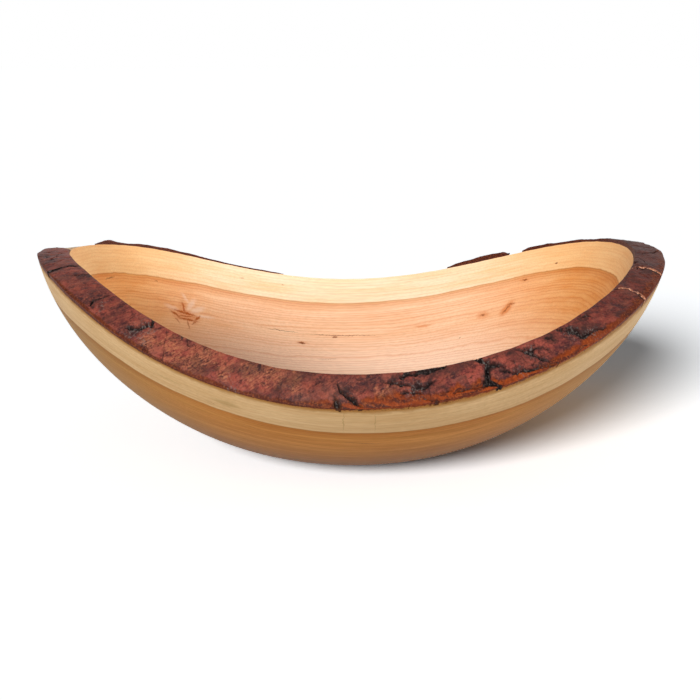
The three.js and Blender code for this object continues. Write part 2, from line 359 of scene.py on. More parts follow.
# %% [markdown]
# ## Oiled cherry
#
# The wood is cherry or a fruitwood like it, turned green, dried, sanded and oiled. Its colour follows the
# depth under the bark: cream sapwood, a thin olive line, a tan first band and then peach heartwood, with a
# growth ring every 2.4 mm or so. A picture of boards would be wrong on a turned wall. We feed the patterns
# with each corner's place in the log, so that the rings bend over the wall as they do in the bowl.

# %% Cherry: places in the log, and noises of several sizes in it
WOOD_NOISES = {  # lumps in mm along, round and through the log, detail, roughness
    "slow": ((60, 25, 25), 2.0, 0.5), "fine": ((13, 6, 6), 1.0, 0.5), "fibres": ((11, 0.9, 0.9), 3.0, 0.6),
    "bands": ((70, 30, 5), 3.0, 0.6), "stain": ((8.125, 3.75, 3.75), 4.0, 0.6),
}
wood, tree = new_material("oiled_cherry")
place = node(tree, "Attribute", {"attribute_name": "log_place"}, "Vector")
inner_side = node(tree, "Attribute", {"attribute_name": "inner_side"}, "Fac")
along, _, depth = node(tree, "SeparateXYZ", Vector=place).node.outputs
grain = {}
for name, (sizes, detail, roughness) in WOOD_NOISES.items():
    spot = node(tree, "VectorMath", DIVIDE, i0=place, i1=sizes)
    grain[name] = node(tree, "TexNoise", Vector=spot, Scale=1.0, Detail=detail, Roughness=roughness)

# %% Cherry: the depth, made a little uneven
slow_shift = node(tree, "MapRange", Value=grain["slow"], To_Min=-1.2, To_Max=1.2)
fine_shift = node(tree, "MapRange", Value=grain["fine"], To_Min=-0.6, To_Max=0.6)
shift = node(tree, "Math", ADD, i0=slow_shift, i1=fine_shift)
wavy_depth = node(tree, "Math", ADD, i0=depth, i1=shift)

# %% [markdown]
# ### Growth rings
#
# A ring is light where it grew in spring and ends in a thin dark line. The part of a ring that is left
# after whole rings are taken off runs through a colour ramp: dark at its start, then quickly light. A noise
# of the depth alone makes good and bad years, and one random number for each ring makes some lines stronger
# than others.

# %% Cherry: growth rings
RING_SPACING = 2.4
years = node(tree, "TexNoise", ONE_NUMBER, W=depth, Scale=0.11, Detail=1.0)
years_shift = node(tree, "MapRange", Value=years, To_Min=-2.8, To_Max=2.8)
ring_depth = node(tree, "Math", ADD, i0=wavy_depth, i1=years_shift)
ring_count = node(tree, "Math", DIVIDE, i0=ring_depth, i1=RING_SPACING)
ring_line = node(tree, "ValToRGB", Fac=node(tree, "Math", FRACT, i0=ring_count))
ramp_stops = ring_line.node.color_ramp.elements
ramp_stops[0].color = (1, 1, 1, 1)
ramp_stops[1].color = (0.85, 0.85, 0.85, 1)
for position, level in ((0.14, 0.5), (0.4, 0.1), (0.74, 0.1)):
    ramp_stops.new(position).color = (level, level, level, 1)
ring_number = node(tree, "Math", FLOOR, i0=ring_count)
ring_chance = node(tree, "TexWhiteNoise", ONE_NUMBER, W=ring_number)
ring_level = node(tree, "MapRange", Value=ring_chance, To_Min=0.35)
rings = node(tree, "Math", MULTIPLY, i0=ring_line, i1=ring_level)

# %% [markdown]
# ### End grain
#
# At the two ends of the bowl the wall stands square to the log, so its open pores drink more oil and turn
# darker and more orange. The share of end grain is the square of the normal's part along the log, which
# needs no painting.

# %% Cherry: end grain
normal = node(tree, "TexCoord", output="Normal")
along_log = node(tree, "SeparateXYZ", Vector=normal)
squareness = node(tree, "Math", MULTIPLY, i0=along_log, i1=along_log)
open_pores = node(tree, "MapRange", SMOOTH, Value=squareness, From_Min=0.05, From_Max=0.7)
pore_reach = node(tree, "MapRange", Value=inner_side, To_Min=0.2)
end_grain = node(tree, "Math", MULTIPLY, i0=open_pores, i1=pore_reach)

# %% [markdown]
# ### Colours of heartwood and sapwood
#
# Each kind of wood gets two shades, mixed by slow bands. There are six pairs: heartwood and sapwood, each
# inside, inside on end grain, and outside, where the pairs are darker and more saturated as painted shade
# on the outer wall. The heartwood's pairs drift towards another colour with the depth or along the log: the
# inside pair paler and pinker deep in the hollow, a painted sheen; the end grain browner towards the right
# end; the outside pair darker towards the foot, painted shade under the wall, and a duller tan at both ends.

# %% Cherry: colours
bands = node(tree, "MapRange", Value=grain["bands"], From_Min=0.3, From_Max=0.7)
shades = [
    node(tree, "Mix", COLOURS, i0=bands, i6=linear(light), i7=linear(dark))
    for light, dark in (
        # the third and the sixth pair, for the outside, are darker and more saturated: painted shade on the
        # outer wall
        (0xFAD1AC, 0xF2BC92), (0xFFBF7A, 0xF4A45A), (0xD89A4C, 0xBA7A30),
        (0xF9E2C2, 0xF2CEA0), (0xFCCE92, 0xF6BE80), (0xE6C492, 0xD4AC76),
    )
]
from_middle = node(tree, "Math", ABSOLUTE, i0=along)
for number, measure, low, high, most, colour in (  # which shade drifts, with what, from and to where, how far
    # the inside heartwood's pale pink deep in the hollow is a painted sheen
    (0, depth, 52.0, 78.0, 1.0, 0xFFDCC0), (1, along, 60.0, 165.0, 0.4, 0xC07C38),
    # the outside heartwood's dark ochre towards the foot is painted shade under the wall
    (2, depth, 45.0, 105.0, 0.9, 0x60380C), (2, from_middle, 70.0, 150.0, 0.9, 0xA88042),
):
    drift = node(tree, "MapRange", Value=measure, From_Min=low, From_Max=high, To_Max=most)
    shades[number] = node(tree, "Mix", COLOURS, i0=drift, i6=shades[number], i7=linear(colour))
timbers = []
# the third of each three is the outside pair, darker by painted shade
for side_grain, pores, shaded_outside in (shades[:3], shades[3:]):
    within = node(tree, "Mix", COLOURS, i0=end_grain, i6=side_grain, i7=pores)
    timbers.append(node(tree, "Mix", COLOURS, i0=inner_side, i6=shaded_outside, i7=within))

# %% Cherry: the tan first band of the heartwood and the olive line at its edge
EDGE_BLEND = 0.3  # mm on either side of the heartwood's edge
FIRST_BAND = 8.0  # mm
heart_start = SAPWOOD_DEPTH + EDGE_BLEND
heart_part = node(
    tree, "MapRange", SMOOTH, Value=wavy_depth, From_Min=SAPWOOD_DEPTH - EDGE_BLEND, From_Max=heart_start,
)
timber = node(tree, "Mix", COLOURS, i0=heart_part, i6=timbers[1], i7=timbers[0])
band_fade = node(
    tree, "MapRange",
    Value=wavy_depth, From_Min=SAPWOOD_DEPTH, From_Max=SAPWOOD_DEPTH + FIRST_BAND, To_Min=0.6, To_Max=0.0,
)
first_band = node(tree, "Math", MULTIPLY, i0=band_fade, i1=heart_part)
timber = node(tree, "Mix", TINTS, i0=first_band, i6=timber, i7=linear(0xD9BC90))
edge_distance = node(tree, "Math", ABSOLUTE, i0=node(tree, "Math", SUBTRACT, i0=wavy_depth, i1=heart_start))
edge_line = node(tree, "MapRange", Value=edge_distance, From_Min=0.2, From_Max=0.9, To_Min=0.25, To_Max=0.0)
timber = node(tree, "Mix", COLOURS, i0=edge_line, i6=timber, i7=linear(0x9A7038))

# %% Cherry: rings and fibres over the colours
heart_rings = node(tree, "MapRange", Value=heart_part, To_Min=0.25, To_Max=0.55)
ring_strength = node(tree, "Math", MULTIPLY, i0=rings, i1=heart_rings)
timber = node(tree, "Mix", TINTS, i0=ring_strength, i6=timber, i7=linear(0xD68C54))
fibre_dark = node(tree, "MapRange", Value=grain["fibres"], From_Min=0.3, From_Max=0.75, To_Max=0.22)
timber = node(tree, "Mix", TINTS, i0=fibre_dark, i6=timber, i7=linear(0x8C6A48))

# %% [markdown]
# ### Knots, gum and checks
#
# Cherry bleeds gum, which leaves thin dark lines along a growth ring, and it closes over small twigs, which
# leave knots. Each such mark is a flat lens in the log: long along it, thin through it. A Mapping node of
# the texture type carries a place into the lens's own sizes, where the lens is everything nearer than 1 to
# its middle. A little noise on the place frays the marks.

# %% Cherry: the marks, as place in the log, half length, half thickness, tilt in degrees, strength
MARK_REACH = 22  # half of what a mark takes up round the log
FRAY = 1.2  # mm either way
PALE_MARKS = (
    (-101, 124, 43.5, 7, 3, -35, 0.4), (-105, 119, 40, 2.5, 8, 20, 0.4), (-116, 110, 45, 6, 2, 20, 0.3),
    (-95, 124, 48, 9, 1.6, 0, 0.4), (-109, 119, 36, 6, 1.5, 60, 0.3),
)
ORANGE_MARKS = (
    (-107.5, 118, 49.5, 12, 5, 8, 0.5), (-110, 118, 44, 3.5, 7, -10, 0.35),
    (87.9, 147.5, 49.4, 5, 3.2, 0, 0.5), (102.5, 133, 48.5, 8, 3, -47, 0.75),
    (49, 172, 48.8, 7.5, 1.3, 5, 0.55), (115, 124, 26.7, 3, 1.8, 0, 0.4),
    (-33, 172, 58.6, 4.6, 1.4, 0, 0.4), (-56, 162, 47, 15, 1.2, -4, 0.3),
)
KNOT_MARKS = (
    (-108.5, 118, 47.6, 9.5, 0.9, 9, 0.95), (-106.5, 118, 52.4, 8, 0.9, 3, 0.9),
    (-109.6, 118, 43.6, 5.5, 0.7, 72, 0.8), (-114, 118, 49.4, 5.5, 1, 35, 0.95),
    (-100.5, 118, 50.2, 3.6, 1.1, -60, 0.95), (-108, 118, 50.2, 7, 0.6, -4, 0.8),
    (-105.5, 117, 56, 5, 0.6, 75, 0.7), (-112.2, 114, 54, 4.2, 0.6, 50, 0.6),
    (-102.5, 118, 54.5, 2.6, 0.8, -50, 0.7),
)
DARK_MARKS = (
    (-33.1, 172.5, 58.9, 3.1, 0.85, 4, 0.95), (-10.9, 179, 52.6, 2.1, 1, 0, 0.9),
    (-46.1, 168, 49.7, 12.5, 0.4, 3.2, 0.75), (-5.5, 176, 51.2, 30, 0.42, 1.3, 0.7),
    (-14.8, 173, 72.7, 8, 0.35, -2, 0.45), (87.9, 147.5, 49.4, 1.8, 1.1, 0, 0.7),
    (102.5, 133, 48.5, 5, 0.7, -47, 0.7), (105.5, 130, 45.5, 2.2, 0.9, 0, 0.6),
    (115.1, 123.7, 26.7, 1.6, 0.9, 0, 0.9), (133.4, 99, 16.2, 1, 0.8, 0, 0.95),
    (-74.3, 153, 9, 1.8, 0.5, 0, 0.6), (-46.7, 165, 9.1, 1.5, 0.5, 0, 0.5),
    (-148.7, 54.5, 26.1, 2.2, 0.6, -30, 0.7), (-126.6, 104, 25.7, 1, 0.6, 0, 0.6),
    (72, 160, 64, 0.9, 0.7, 0, 0.5), (-52.8, -143.4, 32.8, 6, 0.38, 14.6, 0.75),
    (3, -148.5, 36.4, 12.5, 0.4, 8.7, 0.8), (-72.5, -136.5, 17.2, 2.8, 0.35, 7, 0.7),
    (-30, -147, 33, 9, 0.3, 3, 0.35),
)
CHECK_MARKS = (
    (-6.6, -147, 10.5, 11, 0.32, 90, 0.5), (8.8, -147, 10.5, 11, 0.32, 90, 0.4),
    (-64, -139, 12.8, 8, 3.2, 0, 0.4), (-93, -126, 12, 9, 1.2, 0, 0.25),
)
frays = node(tree, "TexNoise", output="Color", Vector=place, Scale=0.45, Detail=2.0, Roughness=0.6)
frays = node(tree, "VectorMath", MULTIPLY_ADD, i0=frays, i1=(2 * FRAY,) * 3, i2=(-FRAY,) * 3)
frayed_place = node(tree, "VectorMath", ADD, i0=place, i1=frays)

# %% Cherry: lay the marks on, one colour after another
for colour, marks in (
    (0xFBE3CD, PALE_MARKS), (0xD0783C, ORANGE_MARKS), (0xB0521C, KNOT_MARKS), (0x7C3E1C, DARK_MARKS),
    (0x96773A, CHECK_MARKS),
):
    share = 0.0
    for *middle, half_length, half_height, tilt, strength in marks:
        lens = node(
            tree, "Mapping", LENS, Vector=frayed_place, Location=middle,
            Rotation=(0, math.radians(-tilt), 0), Scale=(half_length, MARK_REACH, half_height),
        )
        gap = node(tree, "VectorMath", LENGTH, "Value", i0=lens)
        level = node(
            tree, "MapRange", SMOOTH, Value=gap, From_Min=0.35, From_Max=1.15, To_Min=strength, To_Max=0.0,
        )
        share = node(tree, "Math", MAXIMUM, i0=level, i1=share)
    timber = node(tree, "Mix", COLOURS, i0=share, i6=timber, i7=linear(colour))

# %% [markdown]
# ### The stain under the bark
#
# Outside, just under the bark, tannin has run into the sapwood and left a golden brown edge with a wavy
# lower line.

# %% Cherry: the stain under the bark
stain_reach = node(tree, "MapRange", Value=grain["stain"], From_Min=0.3, From_Max=0.7, To_Min=1.4, To_Max=4.2)
stain_part = node(tree, "Math", DIVIDE, i0=depth, i1=stain_reach)
stain = node(tree, "MapRange", Value=stain_part, From_Min=0.2, From_Max=1.1, To_Min=0.9, To_Max=0.0)
outer_side = node(tree, "Math", SUBTRACT, i0=1.0, i1=inner_side)
outer_stain = node(tree, "Math", MULTIPLY, i0=stain, i1=outer_side)
timber = node(tree, "Mix", COLOURS, i0=outer_stain, i6=timber, i7=linear(0xA6763C))

# %% Cherry: surface
fibre_bump = node(tree, "Bump", Height=grain["fibres"], Strength=0.12, Distance=0.1 * MM)
gloss = node(tree, "MapRange", Value=grain["fibres"], To_Min=0.48, To_Max=0.62)
surface = node(
    tree, "BsdfPrincipled", Base_Color=timber, Roughness=gloss, IOR=1.47, Specular_IOR_Level=0.12,
    Normal=fibre_bump,
)
node(tree, "OutputMaterial", Surface=surface)
print("cherry nodes:", len(tree.nodes))

# %% [markdown]
# ## Heartwood
#
# The heartwood is the body of the bowl. Its section starts in the middle of the foot, runs out through the
# shallow dish under it, up the outside to the sapwood, across the wall and down the inside to the middle of
# the floor. Spun round, it is one closed form. Its upper surface is hidden under the sapwood and shares
# every corner with it, so no gap shows between the two.

# %% Heartwood sizes, in millimetres, and steps of its grid
TURN_STEPS = 360
DISH_STEPS = 40
SIDE_STEPS = 60
WALL_STEPS = 12
FLOOR_STEPS = 20
POLE_RING = 0.04  # share of the radius inside which a fan of triangles closes the dish and the floor
DISH_RADIUS = 29.0
DISH_DEPTH = 1.6
TOOL_RING_SPACING = 2.2
TOOL_RING_DEPTH = 0.08
angles = np.arange(TURN_STEPS) * 2 * np.pi / TURN_STEPS

# %% Heartwood points


def side_strip(skin, low, high, angle, steps):
    """Even steps of the profile from low to high on every angle: s = low + (high - low) k / steps."""
    s = low[:, None] + (high - low)[:, None] * np.linspace(0, 1, steps + 1)
    return skin(s, np.broadcast_to(angle[:, None], s.shape))


def layer_strip(start, end, layer, steps):
    """Straight steps in plan from start to end, with the height of the layer over each of them."""
    share = np.linspace(0, 1, steps + 1)[None, :, None]
    points = start[:, None] * (1 - share) + end[:, None] * share
    points[..., 2] = layer(points[..., 0], points[..., 1])
    return points


def dish(share, angle):
    """A shallow bowl, depth (1 - share^2), with fine rings from the gouge that fade out at its edge."""
    radius = DISH_RADIUS * share
    ring = TOOL_RING_DEPTH * np.cos(2 * np.pi * radius / TOOL_RING_SPACING) * (1 - share**8)
    height = DISH_DEPTH * (1 - share**2) + ring
    return spin(np.stack([radius, np.broadcast_to(height, radius.shape)], -1), angle)


def floor(share, angle):
    """The inside of the bottom leaves the wall in line with it and levels out, falling by (1 - share^2)."""
    edge = inner_profile(0)
    way = bezier_direction(0)
    drop = way[1] / way[0] * edge[0] / 2
    point = np.stack([edge[0] * share, edge[1] - drop * (1 - share**2)], -1)
    return spin(point, angle, HOLLOW_SHIFT)


def on_all_angles(shares):
    """Shares along the columns and angles down the rows, as two grids."""
    return np.broadcast_arrays(shares[None, :], angles[:, None])


outer_heart = crossing(outside, angles, heart_layer)
inner_heart = crossing(inside, angles, heart_layer)
zero = np.zeros(TURN_STEPS)
dish_points = dish(*on_all_angles(np.linspace(POLE_RING, 1, DISH_STEPS)))
outer_points = side_strip(outside, zero, outer_heart, angles, SIDE_STEPS)
hidden_points = layer_strip(outer_points[:, -1], inside(inner_heart, angles), heart_layer, WALL_STEPS)
inner_points = side_strip(inside, inner_heart, zero, angles, SIDE_STEPS)
floor_points = floor(*on_all_angles(np.linspace(1, POLE_RING, FLOOR_STEPS)))
strips = [dish_points, outer_points, hidden_points[:, 1:-1], inner_points, floor_points[:, 1:]]
heart_grid = np.concatenate(strips, 1)
print("heartwood grid:", heart_grid.shape[:2])

# %% Heartwood piece


def pole_faces(pole, rows, columns, column):
    """Triangles from one pole to every step of the ring of points in that column."""
    ring = np.arange(rows) * columns + column
    return np.stack([np.full(rows, pole), np.roll(ring, -1), ring], -1)


rows, columns = heart_grid.shape[:2]
poles = np.array([dish(np.array([0.0]), 0.0)[0], floor(np.array([0.0]), 0.0)[0]])
points = np.concatenate([heart_grid.reshape(-1, 3), poles])
quads = grid_faces(rows, columns, True, False)
foot_fan = pole_faces(rows * columns, rows, columns, 0)[:, ::-1]
floor_fan = pole_faces(rows * columns + 1, rows, columns, columns - 1)
foot_end = dish_points.shape[1] - 1
outer_end = foot_end + outer_points.shape[1]
inner_start = outer_end + WALL_STEPS
inner_row = (np.arange(columns) > outer_end).astype(float)
inner_fact = np.append(np.tile(inner_row, rows), [0, 1])
add_piece(
    "heartwood_bowl", points, [quads, foot_fan, floor_fan],
    {"log_place": log_place(points), "inner_side": inner_fact},
    [foot_end, foot_end + 1, outer_end, inner_start], columns, wood,
)

# %% [markdown]
# ## Sapwood
#
# The sapwood is the pale band above the heartwood. Its section is a closed loop: up the outside, across the
# log's surface, down the inside and back over the heartwood. Where the bark broke away, at the back, its
# top is the bare surface of the log, so it gets the faint ripple that such a surface has.

# %% Sapwood piece
BAND_STEPS = 18
RIPPLE = 0.15  # mm
RIPPLE_ALONG, RIPPLE_BEND, RIPPLE_ROUND = 2.3, 5.0, 3.1  # mm in which its waves turn by one radian


def bare_surface(x, y):
    """The log's surface plus a small ripple, sin times cos, that runs along the log."""
    ripple = RIPPLE * np.sin(x / RIPPLE_ALONG + np.sin(y / RIPPLE_BEND)) * np.cos(y / RIPPLE_ROUND)
    return log_layer(0)(x, y) + ripple


outer_rim = crossing(outside, angles, bare_surface)
inner_rim = crossing(inside, angles, bare_surface)
band_outside = side_strip(outside, outer_heart, outer_rim, angles, BAND_STEPS)
band_inside = side_strip(inside, inner_rim, inner_heart, angles, BAND_STEPS)
band_top = layer_strip(band_outside[:, -1], band_inside[:, 0], bare_surface, WALL_STEPS)
strips = [band_outside, band_top[:, 1:-1], band_inside, hidden_points[:, -2:0:-1]]
band_grid = np.concatenate(strips, 1)
rows, columns = band_grid.shape[:2]
points = band_grid.reshape(-1, 3)
inner_row = np.zeros(columns)
inner_row[BAND_STEPS + 1:BAND_STEPS + WALL_STEPS] = 0.7
inner_row[BAND_STEPS + WALL_STEPS:] = 1
add_piece(
    "sapwood_band", points, [grid_faces(rows, columns, True, True)],
    {"log_place": log_place(points), "inner_side": np.tile(inner_row, rows)},
    [0, BAND_STEPS, BAND_STEPS + WALL_STEPS, 2 * BAND_STEPS + WALL_STEPS], columns, wood,
)

# %% [markdown]
# ## The bark: where the plates lie
#
# As the bowl dried the bark split into plates, and at the back some of it broke away. Going round the rim
# from the right end, plates and bare stretches follow one another. Each crack is slanted, and where two
# plates meet it wanders the same way on both. A plate is thick where it kept its outer layers and thin
# where it was rubbed off.

# %% Plates and bare stretches, as in the CAD part, in millimetres
BARK_THICKEST = 5.0
SOFT_EDGE = 0.9
BARK_WAVE = 0.4
BARK_WAVE_LENGTH = 31.0
FIRST_CRACK = math.radians(-20.2)
STRETCHES = (  # name, parts of the way round, slant at its far end in mm, thickness as shares of the thickest
    ("bark_right_end", 58.2, 9.3, (0.86, 0.74, 0.6, 0.48, 0.36, 0.36, 0.64)),
    (None, 10, -6.2, None),
    ("bark_back_patch", 11, 9.3, (0.72, 0.84, 0.72, 0.4)),
    (None, 52, -6.2, None),
    ("bark_back_left", 45, 40, (0.16, 0.2, 0.2, 0.24, 0.42, 0.46, 0.4, 0.22, 0.54, 0.2)),
    (None, 18, 43, None),
    ("bark_left_end", 32, 2.5, (0.24, 0.34, 0.56, 0.76)),
    ("bark_front_left", 90, -6.8, (0.8, 0.84, 0.6, 0.42, 0.34, 0.36, 0.58, 0.88, 0.98, 0.88)),
    ("bark_front_right", 33.8, -6.2, (0.86, 0.82, 0.74, 0.84, 0.88)),
    ("bark_right_shoulder", 10, -5.6, (0.88, 0.88, 0.86)),
)
CRACK_GAPS = {0: 0.7, 7: 1.8, 8: 1.3, 9: 0.6}  # mm that a crack stands open, by the stretch that it starts
CRACK_WANDER = {  # how far round a crack lies from its straight line: shares across, mm
    0: ((0, 0.05, 0.33, 0.63, 0.82, 0.95, 1), (0, 1, 4, 4.6, 4.4, 0.6, 0)),
    8: ((0, 0.12, 0.24, 0.36, 0.5, 0.68, 0.9, 1), (0, -3.5, -5.5, -2.5, -1.2, 1.5, 0.3, 0)),
    9: ((0, 0.17, 0.33, 0.58, 0.78, 0.97, 1), (1, 3.5, 4.6, 5.2, 3.4, 0.3, 0)),
}

# %% Angles at which the stretches start and end
turn_total = sum(stretch[1] for stretch in STRETCHES)
starts = FIRST_CRACK + 2 * np.pi * np.cumsum([0] + [stretch[1] for stretch in STRETCHES]) / turn_total
slants = [STRETCHES[-1][2]] + [stretch[2] for stretch in STRETCHES]
print("stretches start at degrees:", np.degrees(starts).round(1))

# %% [markdown]
# ## The bark: its surface
#
# Bark could be a flat strip with a bumpy material. From the side and in raking light that looks like a
# sticker, so here the relief is real geometry: broad lumps, scales with broken edges, fine grain and the
# fissures. Random relief comes from noise on a lattice. The fissures that the eye knows the bowl by are
# drawn as paths on the rim, given in degrees round it and shares across it, and the noise frays their
# edges.

# %% Noise
LATTICE = 128  # the noise repeats after so many squares


def noise(x, y, size, seed):
    """Random heights of -1 to 1 on a square lattice, joined by 3 t^2 - 2 t^3 between its lines."""
    table = np.random.default_rng(seed).uniform(-1, 1, (LATTICE, LATTICE))
    column, row = np.floor(x / size).astype(int), np.floor(y / size).astype(int)
    across, along = x / size - column, y / size - row
    across, along = across**2 * (3 - 2 * across), along**2 * (3 - 2 * along)
    left, right = column % LATTICE, (column + 1) % LATTICE
    near, far = (
        table[line % LATTICE, left] * (1 - across) + table[line % LATTICE, right] * across
        for line in (row, row + 1)
    )
    return near * (1 - along) + far * along


def roughness(x, y, *terms):
    """The sum of several noises, each given as its height, its size in mm and its seed."""
    return sum(height * noise(x, y, size, seed) for height, size, seed in terms)


def ramp(value, low, high):
    """0 below low and 1 above high, with 3 t^2 - 2 t^3 between them."""
    t = np.clip((value - low) / (high - low), 0, 1)
    return t**2 * (3 - 2 * t)


# %% The fissures: path in degrees and shares across, from the outer edge, then width and depth in millimetres
FISSURES = (
    (((266.3, 0.66), (267, 0.49), (268.1, 0.37), (269.2, 0.31), (269.9, 0.16), (270.9, 0.08)), 2.2, 2.4),
    (((266.2, 0.22), (266.4, 0.1), (266.5, -0.05)), 4.0, 3.2),
    (((275, 0.74), (276.5, 0.73), (278, 0.66), (279.5, 0.62), (280.6, 0.54)), 1.7, 1.7),
    (((280.5, 0.46), (281.5, 0.52), (282.5, 0.47), (283.5, 0.57), (284.6, 0.62)), 1.6, 1.6),
    (((278, 0.37), (279, 0.42), (279.6, 0.38)), 1.3, 1.2),
    (((280, 0.36), (281, 0.36), (281.6, 0.32)), 1.5, 1.2),
    (((282, 0.18), (283, 0.13), (284, 0.07), (285, 0.0)), 1.2, 1.2),
    (
        ((278.4, 0.86), (279.5, 0.97), (281, 0.93), (282, 0.97), (283.5, 0.93), (285, 0.97), (287, 0.98)),
        2.2, 1.2,
    ),
    (((293, 1.0), (294, 0.9), (295.5, 0.74), (296.7, 0.66), (298, 0.53)), 2.4, 1.8),
    (((295, 0.68), (294.6, 0.55), (294.4, 0.36), (293.6, 0.24), (293, 0.14)), 3.4, 2.2),
    (
        ((287.5, 0.14), (288.5, 0.2), (290.5, 0.18), (292.3, 0.17), (293.5, 0.18), (295, 0.1), (296.5, 0)),
        1.6, 2.0,
    ),
    (((297, 0.46), (298.5, 0.37)), 1.8, 1.3),
    (((299, 0.24), (300.5, 0.24), (303, 0.16), (305, 0.11), (307.5, 0.02)), 1.7, 1.6),
    (
        ((300.5, 0.97), (302, 0.86), (303.3, 0.81), (304, 0.7), (305.3, 0.72), (306.3, 0.66), (307, 0.52)),
        1.4, 1.6,
    ),
    (((304, 0.7), (304.4, 0.5), (304.7, 0.35), (306, 0.17)), 1.6, 1.6),
    (((302, 0.8), (303.5, 0.62), (304.3, 0.47)), 2.4, 0.9),
    (((308, 0.9), (309, 0.83), (309, 0.7)), 1.6, 1.4),
    (((311, 0.93), (312.5, 0.76), (313.5, 0.58), (314, 0.43)), 3.0, 1.4),
    (((311.5, 0.92), (313, 0.86), (314, 0.63), (314, 0.36), (316.5, 0.33), (319, 0.18)), 2.4, 2.0),
    (((316.5, 0.88), (318, 0.82), (318.5, 0.7)), 1.4, 1.2),
    (((349.5, 0.78), (352.5, 0.35), (355, 0.15)), 1.1, 1.2),
    (((193, 0.18), (191.5, 0.4)), 0.8, 1.0),
    (((210.5, 0.48), (211, 0.7), (212.5, 0.97)), 0.9, 1.0),
    (((219.5, 0.18), (219, 0.35), (219.5, 0.6), (220, 0.8)), 1.4, 1.2),
    (((227, 0.3), (228.5, 0.5), (230.5, 0.8), (230, 1.0)), 2.0, 1.2),
)
GREY_SPOTS = (  # scaly grey growth: degrees, share across, size in mm
    (221, 0.4, 4), (229.5, 0.5, 8), (247.5, 0.08, 6), (294, 0.85, 4), (300.5, 0.17, 5), (303.5, 0.62, 4),
    (312.8, 0.5, 7), (316, 0.3, 5), (280.5, 0.42, 5), (205.5, 0.1, 3),
)
RUBBED_SPOTS = (  # where the skin is rubbed through, given in the same way
    (231.5, 0.3, 8), (236, 0.45, 9), (240, 0.4, 9), (241.5, 0.8, 9), (249.5, 0.7, 9), (246, 0.5, 7),
    (254, 0.75, 9), (258.5, 0.6, 5), (275, 0.05, 9),
)

# %% From places on the rim to places on the log
MEAN_BARK = 3.5


def rim_place(degrees, share):
    """Along and round the log, in mm, for a place that is so far round the rim and so far across it."""
    angle = np.radians(np.atleast_1d(degrees).astype(float))
    layer = log_layer(-MEAN_BARK)
    edges = [skin(crossing(skin, angle, layer), angle) for skin in (outside, inside)]
    point = edges[0] + (edges[1] - edges[0]) * np.atleast_1d(share)[:, None]
    point[..., 2] = layer(point[..., 0], point[..., 1])
    return log_place(point)[..., :2]


FISSURE_PATHS = [(rim_place(*zip(*path)), width, depth) for path, width, depth in FISSURES]
GREY_PLACES, RUBBED_PLACES = (
    [(rim_place(degrees, share)[0], size) for degrees, share, size in places]
    for places in (GREY_SPOTS, RUBBED_SPOTS)
)

# %% Fissures
HALO_REACH = 2.4  # mm of darker skin beside a fissure
FAR_AWAY = 99.0  # mm, more than any mask or soft edge reaches
FISSURE_REACH = 40  # mm: a path whose middle lies further away from a whole plate is left out
FISSURE_CORE = 0.35  # share of its width that a fissure keeps all along; the rest swells in its middle
FISSURE_FRAY = 0.28  # how far the noise moves its edges, as a share of its width
HALO_FRAY = 1.6  # mm that it moves the darker skin's edge


def path_distance(x, y, path):
    """The least distance to the steps of a path, and how far along it the nearest place is, from 0 to 1."""
    best, place = np.full(x.shape, FAR_AWAY), np.zeros(x.shape)
    for k, (start, end) in enumerate(zip(path[:-1], path[1:])):
        step = end - start
        t = np.clip(((x - start[0]) * step[0] + (y - start[1]) * step[1]) / (step @ step), 0, 1)
        gap = np.hypot(x - start[0] - t * step[0], y - start[1] - t * step[1])
        place = np.where(gap < best, (k + t) / (len(path) - 1), place)
        best = np.minimum(best, gap)
    return best, place


def fissure_depths(x, y):
    """How open the bark is, 0 to 1, how deep, and how dark beside it: the drawn paths, with frayed edges."""
    fray = roughness(x, y, (0.7, 2.6, 11), (0.35, 0.9, 12))
    opening, depth, halo = np.zeros((3, *x.shape))
    for path, width, deep in FISSURE_PATHS:
        middle = path.mean(0)
        if np.hypot(x - middle[0], y - middle[1]).min() > FISSURE_REACH:
            continue
        gap, place = path_distance(x, y, path)
        swelling = np.sin(np.pi * np.clip(place, 0.04, 0.96)) ** 0.6
        half = width / 2 * (FISSURE_CORE + (1 - FISSURE_CORE) * swelling)
        here = 1 - ramp(gap + fray * width * FISSURE_FRAY, half * 0.6, half * 1.25)
        opening = np.maximum(opening, here)
        depth = np.maximum(depth, deep * here)
        halo = np.maximum(halo, 1 - ramp(gap + fray * HALO_FRAY, half * 0.9, half + HALO_REACH))
    return opening, depth, halo


# %% Spots, hair cracks, scales and grain
HAIR_DEPTH = 0.5  # mm
RELIEF_DROP = 0.2  # mm by which the whole relief is lowered, because its scales only rise


def spots(x, y, places, seed):
    """Soft round patches of the sizes given, broken up by noise."""
    fray = roughness(x, y, (0.35, 5.0, seed), (0.35, 1.8, seed + 2))
    level = np.zeros(x.shape)
    for (along, around), size in places:
        gap = np.hypot(x - along, y - around) / size
        level = np.maximum(level, 1 - ramp(gap + fray, 0.2, 1.1))
    return level


def hair_cracks(x, y):
    """Thin cracks where a slow noise passes through zero, in the places that another noise picks."""
    line = np.abs(noise(x, y * 0.8, 7.5, 21) + 0.35 * noise(x, y, 2.4, 22))
    return (1 - ramp(line, 0.02, 0.07)) * ramp(noise(x, y, 17, 23), 0.3, 0.55)


